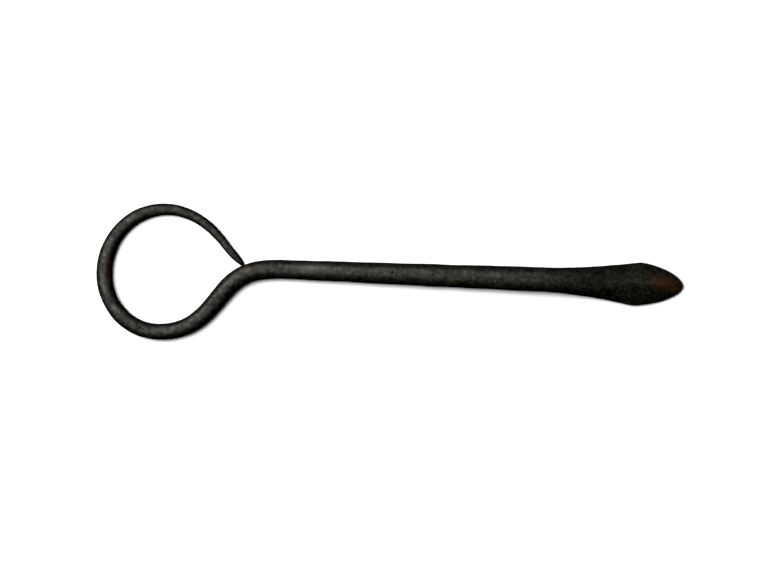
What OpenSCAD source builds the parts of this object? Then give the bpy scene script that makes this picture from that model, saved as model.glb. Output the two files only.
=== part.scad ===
// Hand-forged iron skewer, drawn and bent from one bar: a finger ring, a reverse-bent neck,
// a shank that thickens towards the point, and a flattened leaf-shaped point.
// Millimetres, +X along the shank towards the point, +Z up, lying on its dressed underside.
// The bar's centre line is planned from the end of the neck's bend, where the shank starts.

/* [Finger ring] */
// How far the ring's top lies behind the start of the shank
top_back = 38.1; // [36:0.1:42]
// How far the ring's top lies above the shank's centre line
top_rise = 16.8; // [14:0.1:19]
// From the ring's top back to its rearmost point
back_reach = 18.4; // [16:0.1:21]
// From the ring's top down to its rearmost point
back_drop = 19.3; // [17:0.1:22]
// From the ring's rearmost point forward to its bottom
bottom_reach = 16.8; // [15:0.1:19]
// From the ring's rearmost point down to its bottom
bottom_drop = 17.9; // [16:0.1:20]
// Bar width at the ring's top
top_w = 3.5; // [3:0.1:4.5]
// Bar width at the ring's rearmost point
back_w = 4.6; // [3.5:0.1:5.5]
// Bar width at the ring's bottom
bottom_w = 4.75; // [4:0.05:5.5]

/* [Ring end] */
// Space left between the ring's end and the neck, which are not welded
end_gap = 0.2; // [0.1:0.05:1]
// How far the ring's thin end is tucked in under the neck's round side
end_tuck = 0.3; // [0:0.05:0.3]
// How far behind the shank's start the ring's end comes to rest beside the neck
end_back = 13.3; // [12:0.1:15]
// Slant of the ring's end against the shank's line, at its nose
nose_angle = 42; // [38:0.5:49]
// Slant of the straight stretch behind the nose, where the ring's curve starts
tail_angle = 50.5; // [45:0.5:53]
// Length of the straight stretch from the nose to the ring's curve
tail_len = 8.2; // [6:0.1:10]
// Reach of the ring's curve out of that straight stretch
tail_ease = 9; // [5:0.1:10]
// Reach of the ring's curve out of the ring's top, forwards
top_ease = 6.5; // [5:0.1:9.5]
// Bar width at the very end of the ring
end_w = 0.5; // [0.4:0.1:1.5]
// Bar height at the very end of the ring
end_h = 0.9; // [0.8:0.1:1.8]
// Bar width just behind the nose
nose_w = 2.3; // [1.8:0.05:2.5]
// Length of the rounded nose
nose_len = 5.5; // [1.5:0.1:6]
// Bar width where the ring's curve starts
tail_w = 2.6; // [2.2:0.1:3.2]

/* [Neck] */
// How far behind the shank the neck turns from the ring's curve into its reverse bend
slope_back = 22.5; // [20:0.1:24]
// How far below the shank's centre line that turning place lies
slope_drop = 10.6; // [9:0.1:12]
// Slope of the neck there, against the shank's line
slope_angle = 53; // [48:1:58]
// Reach of the curve out of the ring's bottom, forwards
bottom_ease = 9.1; // [7:0.1:10]
// Reach of the ring's curve into the slope
slope_in = 5.7; // [4:0.1:7]
// Reach of the reverse bend out of the slope
slope_out = 10.2; // [8:0.1:11]
// Reach of the reverse bend into the shank
shank_ease = 14.4; // [10:0.1:16]
// Bar width at the slope
slope_w = 5.2; // [4.5:0.1:6]

/* [Shank] */
// Length of the straight shank, from the neck's bend to the leaf
shank_len = 76; // [50:1:200]
// Bar width at the start of the shank
start_w = 5.8; // [5:0.1:7]
// Bar width at the end of the shank, where the leaf starts
root_w = 7.45; // [6:0.05:9]
// How much lower than wide the bar is, all along
press = 0.3; // [0:0.05:0.6]
// Squareness of the bar's section, from 2 for round to 4 for nearly square
bar_square = 2.6; // [2:0.1:4]
// Depth of the flat dressed along the underside
foot = 0.25; // [0.15:0.05:0.4]

/* [Leaf point] */
// Length of the leaf, from the shank to its tip
leaf_len = 43.1; // [36:0.1:60]
// From the shank to the leaf's shoulder on the ring-top side
high_flare = 30.5; // [24:0.1:33]
// From the shank to the leaf's shoulder on the ring-bottom side
low_flare = 28.5; // [24:0.1:33]
// From the shank's centre line out to the shoulder on the ring-top side
high_half = 6.4; // [5:0.05:9]
// From the shank's centre line out to the shoulder on the ring-bottom side
low_half = 6.85; // [5:0.05:9]
// How late the ring-top side widens, from 1 for a straight flare
high_late = 1.8; // [1.2:0.1:3]
// How late the ring-bottom side widens, from 1 for a straight flare
low_late = 1.8; // [1.2:0.1:3]
// Fullness of the outline from the shoulders to the tip, from 1 for straight to 2 for oval
tip_full = 1.65; // [1.4:0.05:2]
// Softness of the shoulders' corners
shoulder_soft = 0.2; // [0.1:0.1:1]
// Height of the leaf's ridge at the shoulders
ridge_h = 4.4; // [3:0.1:6]
// Height of the leaf's thin side edges
edge_h = 1.4; // [0.5:0.1:2]
// Thickness of the blunt tip
tip_h = 1.6; // [1:0.1:2.5]
// Width left at the blunt tip
tip_w = 0.6; // [0.4:0.1:2]
// How far the tip has sagged below the shank's centre line, towards the ring-bottom side
tip_drop = 0.25; // [0:0.05:0.8]

/* [Smoothness] */
// Sides of the bar's section
sides = 20; // [12:4:32]
// Length of a step along the curves
step_len = 1.6; // [1:0.1:3]

/* [Hidden] */
iron = "#26231f";
// Share of a quarter circle's radius that a cubic curve's handle takes
quarter = 0.5523;
// How much longer than its chord a curve of the bar can be
slack = 1.1;
// Power of the leaf section's ridge across, of its ridge upwards and of its underside across
ridge_across = 1.35;
ridge_upward = 1.1;
under_across = 5;
// How late the ridge falls from the shoulders to the tip
ridge_late = 2;
// The flare and the tip's outline run on past each other so that the shoulders come out round
shoulder_lap = 1.5;
// How the leaf's sections crowd together towards its tip
crowding = 1.2;

// Places along the centre line: shank start, slope, ring bottom, ring back and ring top
start = [0, 0];
slope = [-slope_back, -slope_drop];
top = [-top_back, top_rise];
back = top - [back_reach, back_drop];
bottom = back + [bottom_reach, -bottom_drop];

function heading(a) = [cos(a), sin(a)];
function mix(a, b, t) = a + (b - a) * t;
function bez(c, t) = let (r = 1 - t)
    r * r * r * c[0] + 3 * r * r * t * c[1] + 3 * r * t * t * c[2] + t * t * t * c[3];
function bez_way(c, t) = let (r = 1 - t)
    3 * r * r * (c[1] - c[0]) + 6 * r * t * (c[2] - c[1]) + 3 * t * t * (c[3] - c[2]);
function to_left(d) = [-d.y, d.x] / norm(d);
// Share of a curve that leads to the place x, found by halving
function share_at(c, x, low = 0, high = 1, tries = 20) = let (half = (low + high) / 2)
    tries == 0 ? half
    : bez(c, half).x < x ? share_at(c, x, half, high, tries - 1)
    : share_at(c, x, low, half, tries - 1);

// The reverse bend of the neck, from the slope to the shank
bend = [slope, slope + slope_out * heading(slope_angle), start - [shank_ease, 0], start];

// The ring's end stands off the side of that bend by the gap, whatever the bend's shape
end_at = share_at(bend, -end_back);
rest_side = to_left(bez_way(bend, end_at));
end_way = heading(180 - nose_angle);
end_lean = abs(end_way.x * rest_side.y - end_way.y * rest_side.x);
rest_w = mix(slope_w, start_w, end_at);
end_off = rest_w / 2 + end_gap - end_tuck + end_w / 2 * end_lean;
ring_tip = bez(bend, end_at) + rest_side * end_off;
tail = ring_tip + tail_len * heading(180 - (nose_angle + tail_angle) / 2);

// The curves from the ring's end round to the neck
tail_curve = [
    ring_tip,
    mix(ring_tip, ring_tip + tail_len * heading(180 - nose_angle), 1 / 3),
    mix(tail, tail - tail_len * heading(180 - tail_angle), 1 / 3),
    tail
];
front_curve = [tail, tail + tail_ease * heading(180 - tail_angle), top + [top_ease, 0], top];
upper_curve = [
    top,
    top - [quarter * back_reach, 0],
    back + [0, quarter * back_drop],
    back
];
lower_curve = [
    back,
    back - [0, quarter * bottom_drop],
    bottom - [quarter * bottom_reach, 0],
    bottom
];
slope_curve = [
    bottom,
    bottom + [bottom_ease, 0],
    slope - slope_in * heading(slope_angle),
    slope
];

// Each curve is walked in equal steps of its own parameter
function steps(c) = ceil(norm(c[3] - c[0]) * slack / step_len);
function walk(c, w0, w1) = [for (i = [0 : steps(c)])
    let (t = i / steps(c), w = mix(w0, w1, t)) [bez(c, t), bez_way(c, t), w, w - press]];

// The nose narrows to the bar's end along a quarter oval
function nose_share(s) = s >= nose_len ? 1 : sqrt(1 - pow(1 - s / nose_len, 2));
function nosed(st) = let (k = nose_share(norm(st[0] - ring_tip)))
    [st[0], st[1], mix(end_w, st[2], k), mix(end_h, st[3], k)];

// A section of the bar: a rounded square that dips below the ground by the foot's depth
function round_power(c, p) = sign(c) * pow(abs(c), p);
function bar_section(st) = let (n = to_left(st[1]), h = st[3] / 2)
    [for (i = [0 : sides - 1]) let (
        a = 360 * i / sides,
        x = st[2] / 2 * round_power(cos(a), 2 / bar_square),
        z = h * round_power(sin(a), 2 / bar_square)
    ) [st[0].x + n.x * x, st[0].y + n.y * x, z + h - foot]];

ring_end_rings = [for (st = concat(
    [for (p = walk(tail_curve, nose_w, tail_w)) nosed(p)],
    [for (i = [1 : steps(front_curve)]) walk(front_curve, tail_w, top_w)[i]]
)) bar_section(st)];
ring_upper_rings = [for (st = walk(upper_curve, top_w, back_w)) bar_section(st)];
ring_lower_rings = [for (st = walk(lower_curve, back_w, bottom_w)) bar_section(st)];
bend_walk = walk(bend, slope_w, start_w);
neck_rings = [for (st = concat(
    walk(slope_curve, bottom_w, slope_w),
    [for (i = [1 : len(bend_walk) - 1]) bend_walk[i]]
)) bar_section(st)];
shank_rings = [for (end = [[0, start_w], [shank_len, root_w]])
    bar_section([[end[0], 0], [1, 0], end[1], end[1] - press])];

// Half the leaf's width, s along the leaf: a flare out of the bar, met by an oval tip
function soft_min(a, b) = (a + b - sqrt(pow(a - b, 2) + pow(shoulder_soft, 2))) / 2;
function flare_half(s, flare, half, late) =
    root_w / 2 + (half + shoulder_soft / 2 - root_w / 2) * pow(s / flare, late);
function tip_half(s, flare, half) = let (
    from = flare - shoulder_lap,
    share = max(0, min(1, (s - from) / (leaf_len - from)))
) tip_w / 2 + (half + shoulder_soft / 2 - tip_w / 2) * pow(1 - pow(share, tip_full), 1 / tip_full);
function leaf_half(s, flare, half, late) = s <= 0 ? root_w / 2
    : soft_min(flare_half(s, flare, half, late), tip_half(s, flare, half));
// Heights follow an easy curve from the bar to the shoulders, and on to the tip
function ease(t) = let (u = max(0, min(1, t))) u * u * (3 - 2 * u);
shoulder = (high_flare + low_flare) / 2;
function leaf_top(s) = s < shoulder
    ? mix(root_w - press - foot, ridge_h, ease(s / shoulder))
    : mix(ridge_h, tip_h, pow((s - shoulder) / (leaf_len - shoulder), ridge_late));
function leaf_side(s) = mix((root_w - press) / 2 - foot, edge_h, ease(s / shoulder));
function leaf_section(s) = let (
    k = ease(s / shoulder),
    up = leaf_half(s, high_flare, high_half, high_late),
    down = leaf_half(s, low_flare, low_half, low_late),
    sag = tip_drop * ease((s - shoulder) / (leaf_len - shoulder)),
    mid = leaf_side(s),
    across = mix(bar_square, ridge_across, k),
    upward = mix(bar_square, ridge_upward, k),
    under = mix(bar_square, under_across, k)
) [for (i = [0 : sides - 1]) let (
    a = 360 * i / sides,
    over = sin(a) >= 0,
    x = round_power(cos(a), 2 / (over ? across : under)),
    z = round_power(sin(a), 2 / (over ? upward : bar_square))
) [shank_len + s, x * (x > 0 ? up : down) - sag, mid + z * (over ? leaf_top(s) - mid : mid + foot)]];
leaf_steps = ceil(leaf_len / step_len);
// The steps close up towards the tip, where the outline turns fastest
leaf_rings = [for (i = [0 : leaf_steps])
    leaf_section(leaf_len * sin(90 * pow(i / leaf_steps, crowding)))];

// The whole part stands with the middle of its box over the origin
every = [for (r = concat(ring_end_rings, ring_upper_rings, ring_lower_rings, neck_rings, leaf_rings))
    each r];
xs = [for (p = every) p.x];
ys = [for (p = every) p.y];
centre = [(min(xs) + max(xs)) / 2, (min(ys) + max(ys)) / 2, 0];
// The ground under the part reaches further than the part does
ground = max(xs) - min(xs);

// A closed skin over a row of sections, dressed flat where it meets the ground
module forged(rings) {
    n = sides;
    last = (len(rings) - 1) * n;
    points = [for (r = rings) each [for (p = r) p - centre]];
    skin = [for (j = [0 : len(rings) - 2], i = [0 : n - 1]) let (
        a = j * n + i,
        b = j * n + (i + 1) % n
    ) each [[a, a + n, b], [b, a + n, b + n]]];
    first_cap = [for (i = [1 : n - 2]) [0, i, i + 1]];
    last_cap = [for (i = [1 : n - 2]) [last, last + i + 1, last + i]];
    difference() {
        polyhedron(points = points, faces = concat(skin, first_cap, last_cap), convexity = 6);
        translate([-ground, -ground, -ground])
            cube([2 * ground, 2 * ground, ground]);
    }
}

// Drawn-out end of the ring, with its rounded nose resting by the neck
module ring_end() {
    color(iron)
        forged(ring_end_rings);
}

// Upper back quarter of the ring
module ring_upper() {
    color(iron)
        forged(ring_upper_rings);
}

// Lower back quarter of the ring
module ring_lower() {
    color(iron)
        forged(ring_lower_rings);
}

// Foot of the ring, the slope and the reverse bend up to the shank
module neck() {
    color(iron)
        forged(neck_rings);
}

// Straight shank, thickening towards the leaf
module shank() {
    color(iron)
        forged(shank_rings);
}

// Leaf-shaped point with a low ridge along its top
module leaf_point() {
    color(iron)
        forged(leaf_rings);
}

ring_end();
ring_upper();
ring_lower();
neck();
shank();
leaf_point();
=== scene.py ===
import math

import bpy
import numpy as np
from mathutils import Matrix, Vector, noise


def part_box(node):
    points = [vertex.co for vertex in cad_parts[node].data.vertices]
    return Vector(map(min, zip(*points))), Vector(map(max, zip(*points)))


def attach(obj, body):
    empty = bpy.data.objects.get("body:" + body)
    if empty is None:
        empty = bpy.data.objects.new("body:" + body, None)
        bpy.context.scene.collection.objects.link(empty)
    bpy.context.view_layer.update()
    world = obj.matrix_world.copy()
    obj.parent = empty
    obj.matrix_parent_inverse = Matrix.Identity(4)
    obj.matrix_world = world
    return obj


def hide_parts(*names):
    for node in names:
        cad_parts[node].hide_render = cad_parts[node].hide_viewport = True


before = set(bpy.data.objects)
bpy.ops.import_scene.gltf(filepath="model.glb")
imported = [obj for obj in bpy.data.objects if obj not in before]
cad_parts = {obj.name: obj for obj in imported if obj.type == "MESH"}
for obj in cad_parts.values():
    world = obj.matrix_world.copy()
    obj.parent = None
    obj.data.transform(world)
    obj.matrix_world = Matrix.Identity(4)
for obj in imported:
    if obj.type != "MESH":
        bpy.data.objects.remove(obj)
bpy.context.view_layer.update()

MM = 0.001

# Camera
# It looks straight down on the skewer, turned a little so that the shank sinks to the right.
# The picture is 768 wide and spans 232.7 mm at the height of the bar's widest line.
view_width = 232.7 * MM
view_height = 2.5 * MM
view_turn = math.radians(2.26)
view_centre = Vector((-1.6, -2.35, 0)) * MM
camera_data = bpy.data.cameras.new("view_from_above")
camera_data.lens = 90
camera_data.sensor_width = 36
camera_data.clip_start = 0.01
camera_data.clip_end = 10
camera_distance = view_width * camera_data.lens / camera_data.sensor_width
camera = bpy.data.objects.new("view_from_above", camera_data)
camera.location = view_centre + Vector((0, 0, view_height + camera_distance))
camera.rotation_euler = (0, 0, view_turn)
bpy.context.scene.collection.objects.link(camera)
bpy.context.scene.camera = camera

# Shank
# The straight bar that the skewer was drawn from: wrought iron, hammered to a rounded square
# that thickens towards the point, with its underside dressed flat.
shank_low, shank_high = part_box("shank")
shank_y = (shank_low.y + shank_high.y) / 2
shank_start = np.array((shank_low.x, shank_y))
shank_end = np.array((shank_high.x, shank_y))
start_width = 5.8 * MM
root_width = shank_high.y - shank_low.y
press = 0.3 * MM
foot = 0.25 * MM
bar_square = 2.6
broad_size, broad_depth = 9 * MM, 0.09 * MM
blow_size, blow_depth, blow_rim = (4.2 * MM, 3.0 * MM, 3.0 * MM), 0.10 * MM, 0.45
ripple_size, ripple_depth = 1.7 * MM, 0.018 * MM
ALONG_X = (1.0, 0.0)
SIDES = 96
STEP = 0.3 * MM


def mixed(first, last, share):
    return first + (last - first) * share


def stations(places, ways, left, right, mid, top, across, upward, under):
    """One row for each section of the bar: place, heading, reaches, heights and powers."""
    count = len(places)
    measures = [np.broadcast_to(m, count) for m in (left, right, mid, top, across, upward, under)]
    return np.column_stack([places, np.broadcast_to(ways, (count, 2))] + measures)


def bar(places, ways, widths, heights=None):
    """Stations of the plain bar, as high as wide but for the hammer's press."""
    heights = widths - press if heights is None else heights
    return stations(places, ways, widths / 2, widths / 2, heights / 2 - foot, heights - foot,
                    bar_square, bar_square, bar_square)


def signed_power(values, power):
    return np.sign(values) * np.abs(values) ** power


def skin_of(rows):
    """Points round each station, and the way out of the iron there."""
    angles = np.linspace(0, 2 * math.pi, SIDES, endpoint=False)
    cosines, sines = np.cos(angles), np.sin(angles)
    over = sines >= 0
    x, y, way_x, way_y, left, right, mid, top, across, upward, under = rows.T[:, :, None]
    length = np.hypot(way_x, way_y)
    side_x, side_y = -way_y / length, way_x / length
    out = signed_power(cosines, 2 / np.where(over, across, under))
    rise = signed_power(sines, 2 / np.where(over, upward, bar_square))
    reach = out * np.where(cosines > 0, left, right)
    points = np.stack([x + side_x * reach, y + side_y * reach,
                       mid + rise * np.where(over, top - mid, mid + foot)], axis=2)
    turn = np.roll(points, -1, axis=1) - np.roll(points, 1, axis=1)
    along = np.stack([way_x / length, way_y / length, np.zeros_like(length)], axis=2)
    outward = np.cross(turn, np.broadcast_to(along, turn.shape))
    outward /= np.maximum(np.linalg.norm(outward, axis=2, keepdims=True), 1e-12)
    return points, outward


def hammered(point):
    """How deep the hammer has left the skin at a point: broad blows, their edges and ripple."""
    broad = noise.noise(Vector(point) / broad_size) * broad_depth
    from_blow = noise.voronoi([p / size for p, size in zip(point, blow_size)])[0][0]
    ripple = noise.noise(Vector(point) / ripple_size) * ripple_depth
    return broad + (blow_rim - from_blow) * blow_depth + ripple


def forge(name, rows, marks=()):
    """A closed skin over the stations, struck with the hammer and with its own marks."""
    points, outward = skin_of(rows)
    depth = np.array([[hammered(p) for p in ring] for ring in points])
    for mark in marks:
        depth += mark(points, outward)
    points = points - outward * depth[:, :, None]
    points[:, :, 2] = np.maximum(points[:, :, 2], 0)
    vertices = points.reshape(-1, 3).tolist()
    last = len(points) - 1
    # The corners of each face run so that it looks out of the iron.
    faces = []
    for j in range(last):
        for i in range(SIDES):
            a, b = j * SIDES + i, j * SIDES + (i + 1) % SIDES
            faces.append((a, b, b + SIDES, a + SIDES))
    for ring, order in ((0, -1), (last, 1)):
        vertices.append(points[ring].mean(axis=0).tolist())
        middle = len(vertices) - 1
        for i in range(SIDES):
            pair = (ring * SIDES + i, ring * SIDES + (i + 1) % SIDES)
            faces.append((middle,) + pair[::order])
    mesh = bpy.data.meshes.new(name)
    mesh.from_pydata(vertices, [], faces)
    mesh.polygons.foreach_set("use_smooth", [True] * len(mesh.polygons))
    # The rims of the two end faces stay crisp.
    for edge in mesh.edges:
        rings = [v // SIDES for v in edge.vertices]
        if rings in ([0, 0], [last, last]):
            edge.use_edge_sharp = True
    mesh.update()
    piece = bpy.data.objects.new(name, mesh)
    bpy.context.scene.collection.objects.link(piece)
    return piece


def pit(x, y, radius, depth):
    """A pit in the upper skin, at a place in the frame, in millimetres."""
    def mark(points, outward):
        away = np.hypot(points[:, :, 0] - x * MM, points[:, :, 1] - y * MM) / (radius * MM)
        return np.where(outward[:, :, 2] > 0, np.clip(1 - away ** 2, 0, 1) ** 2 * depth * MM, 0)
    return mark


def new_group(name, takes, gives):
    """An empty shader group with its sockets, and its two ends."""
    group = bpy.data.node_groups.new(name, "ShaderNodeTree")
    for label, kind, value in takes:
        socket = group.interface.new_socket(label, in_out="INPUT", socket_type=kind)
        socket.default_value = value
    for label, kind in gives:
        group.interface.new_socket(label, in_out="OUTPUT", socket_type=kind)
    start = group.nodes.new("NodeGroupInput")
    end = group.nodes.new("NodeGroupOutput")
    return group, start, end


def add(tree, kind, inputs=(), **settings):
    """A node with its settings made, and its inputs set or linked by name or number."""
    made = tree.nodes.new(kind)
    for key, value in settings.items():
        setattr(made, key, value)
    for key, value in dict(inputs).items():
        if isinstance(value, bpy.types.NodeSocket):
            tree.links.new(value, made.inputs[key])
        else:
            made.inputs[key].default_value = value
    return made


def cloud(tree, place, scale, detail, roughness=0.5):
    """Soft noise over the iron, finer the larger its scale."""
    return add(tree, "ShaderNodeTexNoise", {"Vector": place, "Scale": scale, "Detail": detail,
                                            "Roughness": roughness}).outputs["Fac"]


def ranged(tree, value, low, high, gives_low=0.0, gives_high=1.0, kind="LINEAR"):
    """A value that runs from low to high, brought to another range."""
    return add(tree, "ShaderNodeMapRange", {"Value": value, "From Min": low, "From Max": high,
                                            "To Min": gives_low, "To Max": gives_high},
               interpolation_type=kind).outputs["Result"]


def worked(tree, operation, *values):
    """A value worked out from others by one operation."""
    return add(tree, "ShaderNodeMath", dict(enumerate(values)), operation=operation).outputs[0]


def blended(tree, amount, below, above):
    """One colour laid over another where the amount says."""
    return add(tree, "ShaderNodeMix", {"Factor": amount, "A": below, "B": above},
               data_type="RGBA").outputs["Result"]


# Fire scale: the mottled black skin that the forge leaves, dull grey where it has worn through.
coarse_scale, medium_scale, fine_scale, hole_scale = 260, 900, 3200, 1100
medium_share, fine_share = 0.6, 0.35
hole_reach, holes_from, holes_full = 0.32, 0.5, 0.62
worn_from, worn_full = 0.42, 0.68
patch_from, patch_full = 0.35, 0.65
scale_group, _, scale_end = new_group(
    "fire_scale", [],
    [("Worn", "NodeSocketFloat"), ("Patch", "NodeSocketFloat"), ("Height", "NodeSocketFloat")])
place = add(scale_group, "ShaderNodeTexCoord").outputs["Object"]
coarse = cloud(scale_group, place, coarse_scale, 3)
medium = cloud(scale_group, place, medium_scale, 4, 0.65)
fine = cloud(scale_group, place, fine_scale, 3)
holes = add(scale_group, "ShaderNodeTexVoronoi", {"Vector": place, "Scale": hole_scale},
            feature="F1")
hole_depth = ranged(scale_group, holes.outputs["Distance"], 0.0, hole_reach, -1.0, 0.0,
                    "SMOOTHSTEP")
hole_here = ranged(scale_group, coarse, holes_from, holes_full)
holes_left = worked(scale_group, "MULTIPLY", hole_depth, hole_here)
rough_skin = worked(scale_group, "MULTIPLY_ADD", medium, medium_share, holes_left)
for label, value in (("Worn", ranged(scale_group, medium, worn_from, worn_full)),
                     ("Patch", ranged(scale_group, coarse, patch_from, patch_full)),
                     ("Height", worked(scale_group, "MULTIPLY_ADD", fine, fine_share, rough_skin))):
    scale_group.links.new(value, scale_end.inputs[label])

# Stain: a ragged oval patch at a place in the frame, such as a bloom of old rust.
stain_scale, stain_ragged = 700, 0.7
stain_full, stain_end_at = 0.5, 1.3
stain_group, stain_start, stain_end = new_group(
    "stain",
    [("Centre", "NodeSocketVector", (0, 0, 0)), ("Reach", "NodeSocketVector", (1, 1, 1))],
    [("Mask", "NodeSocketFloat")])
place = add(stain_group, "ShaderNodeTexCoord").outputs["Object"]
shifted = add(stain_group, "ShaderNodeVectorMath",
              {0: place, 1: stain_start.outputs["Centre"]}, operation="SUBTRACT")
scaled = add(stain_group, "ShaderNodeVectorMath",
             {0: shifted.outputs["Vector"], 1: stain_start.outputs["Reach"]}, operation="DIVIDE")
away = add(stain_group, "ShaderNodeVectorMath", {0: scaled.outputs["Vector"]}, operation="LENGTH")
ragged = worked(stain_group, "MULTIPLY_ADD", cloud(stain_group, place, stain_scale, 4),
                stain_ragged, away.outputs["Value"])
mask = ranged(stain_group, ragged, stain_full, stain_end_at, 1.0, 0.0, "SMOOTHSTEP")
stain_group.links.new(mask, stain_end.inputs["Mask"])

SCALE_BLACK = (0.0085, 0.0083, 0.0070, 1)
WORN_GREY = (0.0300, 0.0292, 0.0240, 1)
ASH = (0.040, 0.039, 0.034, 1)
sheen_low, sheen_high = 0.44, 0.58
grain_depth, grain_strength = 0.08 * MM, 0.55


def iron(name, stains=()):
    """Blackened, oiled iron. A stain is a centre and a reach in mm, a colour and a strength."""
    material = bpy.data.materials.new(name)
    material.use_nodes = True
    tree = material.node_tree
    scale = add(tree, "ShaderNodeGroup", node_tree=scale_group)
    colour = blended(tree, scale.outputs["Worn"], SCALE_BLACK, WORN_GREY)
    for centre, reach, shade, strength in stains:
        spot = add(tree, "ShaderNodeGroup", {"Centre": [c * MM for c in centre],
                                             "Reach": [r * MM for r in reach]},
                   node_tree=stain_group)
        colour = blended(tree, worked(tree, "MULTIPLY", spot.outputs["Mask"], strength),
                         colour, shade)
    roughness = ranged(tree, scale.outputs["Patch"], 0.0, 1.0, sheen_low, sheen_high)
    bump = add(tree, "ShaderNodeBump", {"Height": scale.outputs["Height"],
                                        "Strength": grain_strength, "Distance": grain_depth})
    shader = tree.nodes["Principled BSDF"]
    tree.links.new(colour, shader.inputs["Base Color"])
    tree.links.new(roughness, shader.inputs["Roughness"])
    tree.links.new(bump.outputs["Normal"], shader.inputs["Normal"])
    shader.inputs["Metallic"].default_value = 0.7
    shader.inputs["Specular IOR Level"].default_value = 0.2
    return material


shank_length = shank_end[0] - shank_start[0]
shank_shares = np.linspace(0, 1, int(shank_length / STEP) + 1)
shank = forge("shank",
              bar(mixed(shank_start, shank_end, shank_shares[:, None]), ALONG_X,
                  mixed(start_width, root_width, shank_shares)),
              [pit(1.0, 2.3, 0.45, 0.3)])
shank.data.materials.append(iron("iron_of_shank", [((-25, 3, 5), (12, 3, 4), ASH, 0.5)]))
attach(shank, "root")
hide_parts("shank")

# Leaf point
# The bar's end, flattened on the anvil to a leaf with a low ridge and thin side edges, then
# ground to a blunt tip. Old rust shows brown towards the tip.
leaf_low, leaf_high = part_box("leaf_point")
leaf_length = leaf_high.x - leaf_low.x
high_flare, low_flare = 30.5 * MM, 28.5 * MM
high_half, low_half = 6.4 * MM, 6.85 * MM
flare_late = 1.8
tip_full = 1.65
shoulder_soft, shoulder_lap = 0.2 * MM, 1.5 * MM
ridge_height, edge_height, tip_height = 4.4 * MM, 1.4 * MM, 1.6 * MM
tip_width, tip_drop = 0.6 * MM, 0.25 * MM
ridge_across, ridge_upward, under_across = 1.35, 1.1, 5.0
ridge_fall = 2
tip_crowding = 1.2
RUST = (0.060, 0.026, 0.013, 1)


def ease(share):
    held = np.clip(share, 0, 1)
    return held * held * (3 - 2 * held)


def leaf_half(along, flare, half):
    """Half the leaf's width: a flare out of the bar, met by an oval tip."""
    root, full = root_width / 2, half + shoulder_soft / 2
    flared = root + (full - root) * (along / flare) ** flare_late
    share = np.clip((along - flare + shoulder_lap) / (leaf_length - flare + shoulder_lap), 0, 1)
    oval = tip_width / 2 + (full - tip_width / 2) * (1 - share ** tip_full) ** (1 / tip_full)
    return (flared + oval - np.hypot(flared - oval, shoulder_soft)) / 2


leaf_shares = np.linspace(0, 1, int(leaf_length / STEP) + 1) ** tip_crowding
along = leaf_length * np.sin(leaf_shares * math.pi / 2)
shoulder = (high_flare + low_flare) / 2
flat = ease(along / shoulder)
beyond = np.clip((along - shoulder) / (leaf_length - shoulder), 0, 1)
leaf_places = np.stack([shank_end[0] + along, shank_y - tip_drop * ease(beyond)], axis=1)
leaf_top = np.where(along < shoulder,
                    mixed(root_width - press - foot, ridge_height, flat),
                    mixed(ridge_height, tip_height, beyond ** ridge_fall))
leaf_mid = mixed((root_width - press) / 2 - foot, edge_height, flat)
leaf_high_half = leaf_half(along, high_flare, high_half)
leaf_low_half = leaf_half(along, low_flare, low_half)
leaf_high_half[0] = leaf_low_half[0] = root_width / 2
leaf = forge("leaf_point",
             stations(leaf_places, ALONG_X, leaf_high_half, leaf_low_half, leaf_mid, leaf_top,
                      mixed(bar_square, ridge_across, flat),
                      mixed(bar_square, ridge_upward, flat),
                      mixed(bar_square, under_across, flat)))
leaf.data.materials.append(iron("iron_of_leaf", [
    ((82.5, 2.8, 2.5), (7.5, 3.6, 4), RUST, 0.75),
    ((85.6, 1.0, 2), (3, 1.8, 4), RUST, 0.9)]))
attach(leaf, "root")
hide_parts("leaf_point")

# Neck
# The reverse bend between the shank and the ring, closed over the anvil's horn. The end of
# the ring rests beside it, and handling has left it faintly brown there.
ring_low, ring_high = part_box("ring_lower")
bottom_width = 4.75 * MM
slope_width = 5.2 * MM
ring_bottom = np.array((ring_high.x, ring_low.y + bottom_width / 2))
slope_back, slope_drop, slope_angle = 22.5 * MM, 10.6 * MM, 53
bottom_ease, slope_in, slope_out, shank_ease = 9.1 * MM, 5.7 * MM, 10.2 * MM, 14.4 * MM
slope = shank_start - (slope_back, slope_drop)
curve_slack = 1.1
UMBER = (0.034, 0.026, 0.014, 1)


def heading(degrees):
    return np.array((math.cos(math.radians(degrees)), math.sin(math.radians(degrees))))


def curve_place(c, t):
    t, r = np.atleast_1d(t)[:, None], 1 - np.atleast_1d(t)[:, None]
    return r ** 3 * c[0] + 3 * r * r * t * c[1] + 3 * r * t * t * c[2] + t ** 3 * c[3]


def curve_way(c, t):
    t, r = np.atleast_1d(t)[:, None], 1 - np.atleast_1d(t)[:, None]
    return 3 * r * r * (c[1] - c[0]) + 6 * r * t * (c[2] - c[1]) + 3 * t * t * (c[3] - c[2])


def bent_bar(curve, first_width, last_width):
    """Stations of the bar along one curve, narrowing or widening evenly."""
    count = int(np.linalg.norm(curve[3] - curve[0]) * curve_slack / STEP)
    t = np.linspace(0, 1, count + 1)
    return bar(curve_place(curve, t), curve_way(curve, t), mixed(first_width, last_width, t))


foot_curve = [ring_bottom, ring_bottom + (bottom_ease, 0),
              slope - slope_in * heading(slope_angle), slope]
bend_curve = [slope, slope + slope_out * heading(slope_angle),
              shank_start - (shank_ease, 0), shank_start]
neck = forge("neck",
             np.vstack([bent_bar(foot_curve, bottom_width, slope_width),
                        bent_bar(bend_curve, slope_width, start_width)[1:]]))
neck.data.materials.append(iron("iron_of_neck", [((-43.6, 1.9, 4.5), (2.4, 1.6, 3), UMBER, 0.8)]))
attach(neck, "root")
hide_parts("neck")

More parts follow.
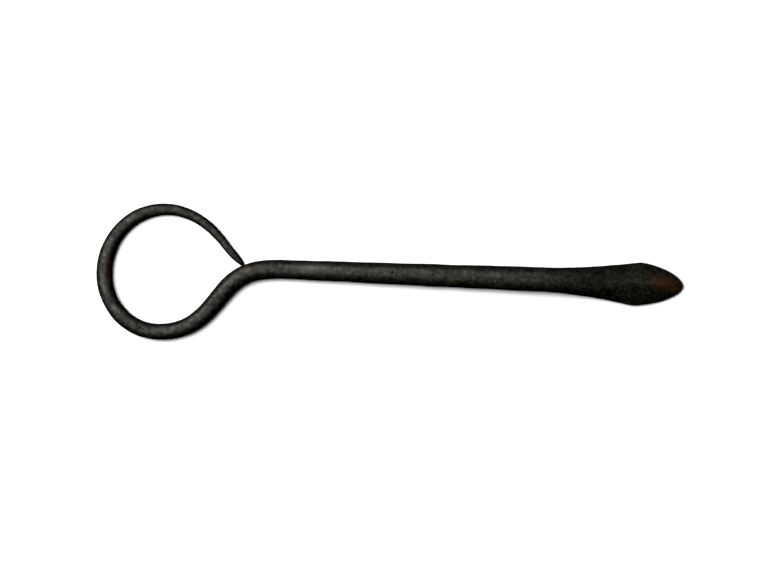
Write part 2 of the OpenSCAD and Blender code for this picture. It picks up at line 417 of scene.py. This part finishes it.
# Ring, lower back quarter
# The thicker half of the finger ring, bent round the horn, with a cluster of deep pits near
# its bottom and rust on the inside, where a finger wears it least.
upper_low, upper_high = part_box("ring_upper")
back_width = 4.6 * MM
ring_back = np.array((upper_low.x + back_width / 2, upper_low.y))
QUARTER_HANDLE = 0.5523
lower_curve = [ring_back,
               ring_back - (0, QUARTER_HANDLE * (ring_back[1] - ring_bottom[1])),
               ring_bottom - (QUARTER_HANDLE * (ring_bottom[0] - ring_back[0]), 0),
               ring_bottom]
ring_lower = forge("ring_lower", bent_bar(lower_curve, back_width, bottom_width),
                   [pit(-74.9, -17.3, 0.5, 0.35), pit(-74.0, -17.9, 0.4, 0.3),
                    pit(-75.6, -16.6, 0.35, 0.25), pit(-73.3, -18.4, 0.3, 0.2)])
ring_lower.data.materials.append(iron("iron_of_lower_ring", [
    ((-84.6, -1.5, 2.5), (1.0, 5.5, 3), RUST, 0.9)]))
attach(ring_lower, "root")
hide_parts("ring_lower")

# Ring, upper back quarter
# The same iron bar runs on round to the ring's top, bent over the horn, and is thinner all
# the way as it was drawn out. The rust on the inside goes on a little way up it.
top_width = 3.5 * MM
ring_top = np.array((upper_high.x, upper_high.y - top_width / 2))
upper_curve = [ring_top,
               ring_top - (QUARTER_HANDLE * (ring_top[0] - ring_back[0]), 0),
               ring_back + (0, QUARTER_HANDLE * (ring_top[1] - ring_back[1])),
               ring_back]
ring_upper = forge("ring_upper", bent_bar(upper_curve, top_width, back_width))
ring_upper.data.materials.append(iron("iron_of_upper_ring", [
    ((-84.6, 1.5, 2.5), (1.0, 5.5, 3), RUST, 0.8)]))
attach(ring_upper, "root")
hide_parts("ring_upper")

# Ring end
# The drawn-out end of the bar, with a thin nose that is tucked in under the neck's round
# side. It is bent there cold and not welded, so a dark line is left between the two.
end_back = 13.3 * MM
end_gap, end_tuck = 0.2 * MM, 0.3 * MM
nose_angle, tail_angle = 42, 50.5
tail_length, tail_ease, top_ease = 8.2 * MM, 9 * MM, 6.5 * MM
end_width, end_height = 0.5 * MM, 0.9 * MM
nose_width, nose_length, tail_width = 2.3 * MM, 5.5 * MM, 2.6 * MM
search_steps = 2000
bend_shares = np.linspace(0, 1, search_steps + 1)
bend_x = curve_place(bend_curve, bend_shares)[:, 0]
end_share = bend_shares[np.argmin(np.abs(bend_x - (shank_start[0] - end_back)))]
rest_way = curve_way(bend_curve, end_share)[0]
rest_side = np.array((-rest_way[1], rest_way[0])) / np.linalg.norm(rest_way)
rest_width = mixed(slope_width, start_width, end_share)
end_way = heading(180 - nose_angle)
end_lean = abs(end_way[0] * rest_side[1] - end_way[1] * rest_side[0])
end_off = rest_width / 2 + end_gap - end_tuck + end_width / 2 * end_lean
ring_tip = curve_place(bend_curve, end_share)[0] + rest_side * end_off
tail = ring_tip + tail_length * heading(180 - (nose_angle + tail_angle) / 2)
tail_curve = [ring_tip, ring_tip + tail_length / 3 * end_way,
              tail - tail_length / 3 * heading(180 - tail_angle), tail]
front_curve = [tail, tail + tail_ease * heading(180 - tail_angle),
               ring_top + (top_ease, 0), ring_top]
tail_shares = np.linspace(0, 1, int(tail_length / STEP) + 1)
tail_places = curve_place(tail_curve, tail_shares)
tail_widths = mixed(nose_width, tail_width, tail_shares)
from_end = np.linalg.norm(tail_places - ring_tip, axis=1)
nosed = np.sqrt(1 - (1 - np.clip(from_end / nose_length, 0, 1)) ** 2)
tail_rows = bar(tail_places, curve_way(tail_curve, tail_shares),
                mixed(end_width, tail_widths, nosed),
                mixed(end_height, tail_widths - press, nosed))
ring_end = forge("ring_end",
                 np.vstack([tail_rows, bent_bar(front_curve, tail_width, top_width)[1:]]))
ring_end.data.materials.append(iron("iron_of_ring_end"))
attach(ring_end, "root")
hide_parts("ring_end")

# Table
# A sheet of plain white paper, which belongs to the stage and not to the skewer. It lies
# just under the iron and gives it no reflection.
paper_side = 3.0
paper_drop = 0.02 * MM
paper_white = (0.86, 0.86, 0.86, 1)
corner = paper_side / 2
paper_mesh = bpy.data.meshes.new("paper")
paper_mesh.from_pydata([(-corner, -corner, -paper_drop), (corner, -corner, -paper_drop),
                        (corner, corner, -paper_drop), (-corner, corner, -paper_drop)],
                       [], [(0, 1, 2, 3)])
paper = bpy.data.objects.new("paper", paper_mesh)
bpy.context.scene.collection.objects.link(paper)
paper_sheet = bpy.data.materials.new("paper_white")
paper_sheet.use_nodes = True
paper_shader = paper_sheet.node_tree.nodes["Principled BSDF"]
paper_shader.inputs["Base Color"].default_value = paper_white
paper_shader.inputs["Roughness"].default_value = 0.9
paper_shader.inputs["Specular IOR Level"].default_value = 0.1
paper.data.materials.append(paper_sheet)
paper.visible_glossy = False
paper.visible_diffuse = False

# Light
# One broad soft lamp stands high to the upper left, and a dim room glows a little from the
# same side. The camera sees the room white, and the darkest tones are pulled down to black.
lamp_azimuth = math.radians(148) + view_turn
lamp_tilt = math.radians(25)
lamp_spread = math.radians(16)
lamp_distance = 0.9
lamp_power = 14
room_side = (-0.80, 0.52, 0.30)
room_dim, room_glow, room_full = 0.02, 0.28, 0.9
black = 0.004
lamp_data = bpy.data.lights.new("soft_lamp", "AREA")
lamp_data.shape = "DISK"
lamp_data.size = 2 * lamp_distance * math.tan(lamp_spread)
lamp_data.energy = lamp_power
lamp = bpy.data.objects.new("soft_lamp", lamp_data)
lamp_way = Vector((math.sin(lamp_tilt) * math.cos(lamp_azimuth),
                   math.sin(lamp_tilt) * math.sin(lamp_azimuth), math.cos(lamp_tilt)))
lamp.location = lamp_way * lamp_distance
lamp.rotation_euler = lamp_way.to_track_quat("Z", "Y").to_euler()
lamp.visible_camera = False
bpy.context.scene.collection.objects.link(lamp)

room = bpy.data.worlds.new("pale_room")
room.use_nodes = True
bpy.context.scene.world = room
tree = room.node_tree
tree.nodes.clear()
look = add(tree, "ShaderNodeTexCoord").outputs["Generated"]
toward = add(tree, "ShaderNodeVectorMath", {0: look, 1: room_side}, operation="DOT_PRODUCT")
glow = ranged(tree, toward.outputs["Value"], 0.0, room_full, room_dim, room_glow)
dim = add(tree, "ShaderNodeBackground", {"Color": (1, 1, 1, 1), "Strength": glow})
pale = add(tree, "ShaderNodeBackground", {"Color": (1, 1, 1, 1), "Strength": 1.0})
path = add(tree, "ShaderNodeLightPath")
chosen = add(tree, "ShaderNodeMixShader", {0: path.outputs["Is Camera Ray"],
                                           1: dim.outputs[0], 2: pale.outputs[0]})
add(tree, "ShaderNodeOutputWorld", {"Surface": chosen.outputs[0]})
settings = bpy.context.scene.view_settings
settings.view_transform = "Standard"
settings.use_curve_mapping = True
settings.curve_mapping.black_level = (black, black, black)
settings.curve_mapping.update()
